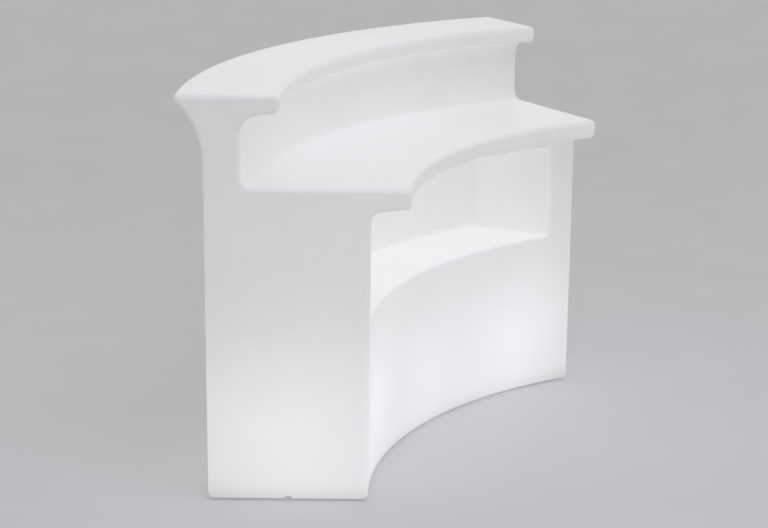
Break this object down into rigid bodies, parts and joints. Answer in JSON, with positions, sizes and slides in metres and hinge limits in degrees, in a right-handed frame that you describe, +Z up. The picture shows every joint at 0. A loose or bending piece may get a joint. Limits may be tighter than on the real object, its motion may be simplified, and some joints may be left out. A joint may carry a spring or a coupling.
{
  "type": "illuminated bar counter",
  "caption": "Curved, hollow moulded bar counter with a raised flared top, a lower worktop and an open shelf niche, lit from inside by lamps on hatches in its recessed base.",
  "frame": {"origin": "on the floor under the middle of the counter's bounding box", "axes": "+X along the counter, +Y towards the customers (the convex side), +Z up; the person serving stands on the -Y side"},
  "size_m": [1.7602, 0.7634, 1.1],
  "materials": {
    "shell_polyethylene": "satin, translucent white, lit from inside",
    "white_plastic": "satin",
    "grey_plastic": "satin",
    "black_rubber": "matt",
    "lead_sheath": "matt sheath",
    "zinc_steel": "zinc plated",
    "brass": "turned",
    "aluminium": "pressed",
    "opal_globe": "opal, lit from inside"
  },
  "bodies": {
    "counter": {"bar_body": "shell_polyethylene", "hatch_cover_left": "white_plastic", "hatch_cover_centre": "white_plastic", "hatch_cover_right": "white_plastic", "lampholder_left": "white_plastic", "lampholder_centre": "white_plastic", "lampholder_right": "white_plastic", "lamp_collar_left": "white_plastic", "lamp_collar_centre": "white_plastic", "lamp_collar_right": "white_plastic", "terminal_block": "white_plastic", "hatch_gasket_left": "black_rubber", "hatch_gasket_centre": "black_rubber", "hatch_gasket_right": "black_rubber", "gland_seal": "black_rubber", "gland_body": "grey_plastic", "gland_cap_nut": "grey_plastic", "blanking_plug_centre": "grey_plastic", "blanking_plug_right": "grey_plastic", "junction_box": "grey_plastic", "junction_box_lid": "grey_plastic", "lamp_bracket_left": "zinc_steel", "lamp_bracket_centre": "zinc_steel", "lamp_bracket_right": "zinc_steel", "hatch_screw_left_1": "zinc_steel", "hatch_screw_left_2": "zinc_steel", "hatch_screw_left_3": "zinc_steel", "hatch_screw_centre_1": "zinc_steel", "hatch_screw_centre_2": "zinc_steel", "hatch_screw_centre_3": "zinc_steel", "hatch_screw_right_1": "zinc_steel", "hatch_screw_right_2": "zinc_steel", "hatch_screw_right_3": "zinc_steel", "foot_insert_inner_left": "brass", "foot_insert_inner_centre": "brass", "foot_insert_inner_right": "brass", "foot_insert_outer_left": "brass", "foot_insert_outer_centre": "brass", "foot_insert_outer_right": "brass", "lamp_cap_left": "aluminium", "lamp_cap_centre": "aluminium", "lamp_cap_right": "aluminium", "lamp_globe_left": "opal_globe", "lamp_globe_centre": "opal_globe", "lamp_globe_right": "opal_globe", "lead_left": "lead_sheath", "lead_centre": "lead_sheath", "lead_right": "lead_sheath"},
    "foot_inner_left": {"foot_stud_inner_left": "zinc_steel", "foot_pad_inner_left": "black_rubber"},
    "foot_inner_centre": {"foot_stud_inner_centre": "zinc_steel", "foot_pad_inner_centre": "black_rubber"},
    "foot_inner_right": {"foot_stud_inner_right": "zinc_steel", "foot_pad_inner_right": "black_rubber"},
    "foot_outer_left": {"foot_stud_outer_left": "zinc_steel", "foot_pad_outer_left": "black_rubber"},
    "foot_outer_centre": {"foot_stud_outer_centre": "zinc_steel", "foot_pad_outer_centre": "black_rubber"},
    "foot_outer_right": {"foot_stud_outer_right": "zinc_steel", "foot_pad_outer_right": "black_rubber"}
  },
  "joints": [
    {"name": "foot_inner_left_height", "type": "slide", "parent": "counter", "child": "foot_inner_left", "axis": [0, 0, -1], "range_m": [0, 0.015]},
    {"name": "foot_inner_centre_height", "type": "slide", "parent": "counter", "child": "foot_inner_centre", "axis": [0, 0, -1], "range_m": [0, 0.015]},
    {"name": "foot_inner_right_height", "type": "slide", "parent": "counter", "child": "foot_inner_right", "axis": [0, 0, -1], "range_m": [0, 0.015]},
    {"name": "foot_outer_left_height", "type": "slide", "parent": "counter", "child": "foot_outer_left", "axis": [0, 0, -1], "range_m": [0, 0.015]},
    {"name": "foot_outer_centre_height", "type": "slide", "parent": "counter", "child": "foot_outer_centre", "axis": [0, 0, -1], "range_m": [0, 0.015]},
    {"name": "foot_outer_right_height", "type": "slide", "parent": "counter", "child": "foot_outer_right", "axis": [0, 0, -1], "range_m": [0, 0.015]}
  ]
}
